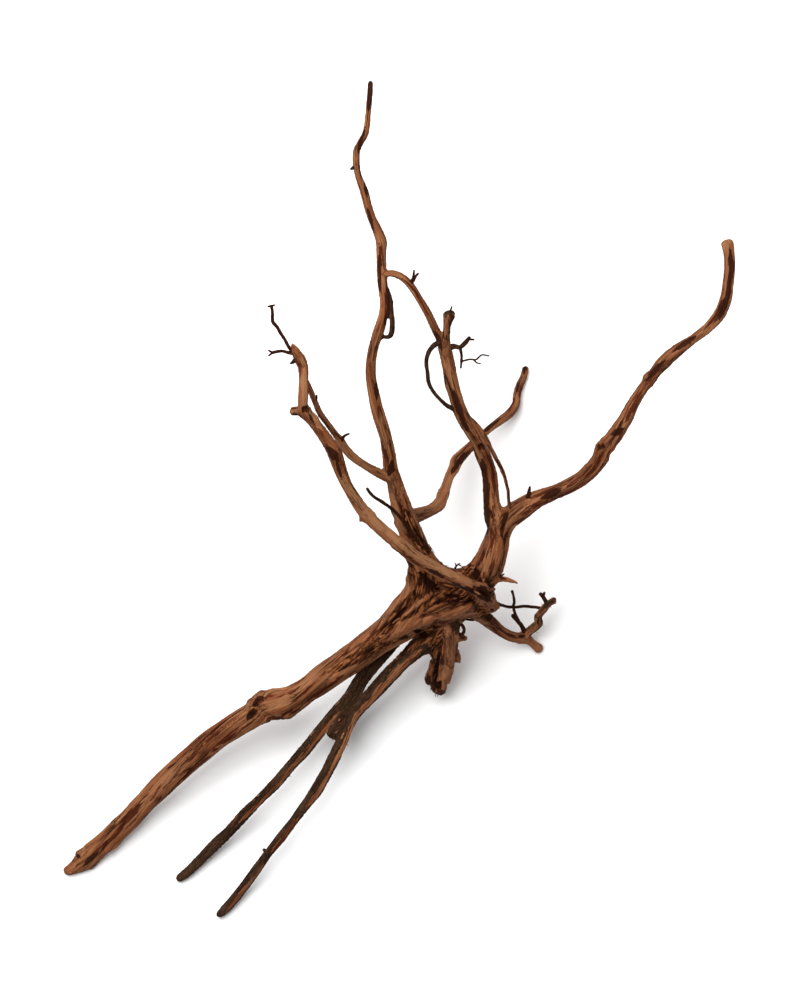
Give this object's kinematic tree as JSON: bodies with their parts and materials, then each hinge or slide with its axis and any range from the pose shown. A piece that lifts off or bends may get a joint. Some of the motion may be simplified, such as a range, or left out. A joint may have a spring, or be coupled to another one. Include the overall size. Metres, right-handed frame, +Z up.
{
  "type": "aquarium driftwood branch",
  "caption": "Branching root-wood piece for an aquarium: a twisted trunk with long roots and thin, wandering limbs, lying on its tips.",
  "frame": {"origin": "on the surface that the piece lies on, under the middle of its box", "axes": "+Z up, +Y from the long root's end towards the tall limb's tip, +X towards the reaching limb"},
  "size_m": [0.436, 0.5426, 0.1939],
  "materials": {
    "driftwood": "peeled, dry, satin to matt"
  },
  "bodies": {
    "root": {"driftwood": "driftwood"}
  },
  "joints": []
}
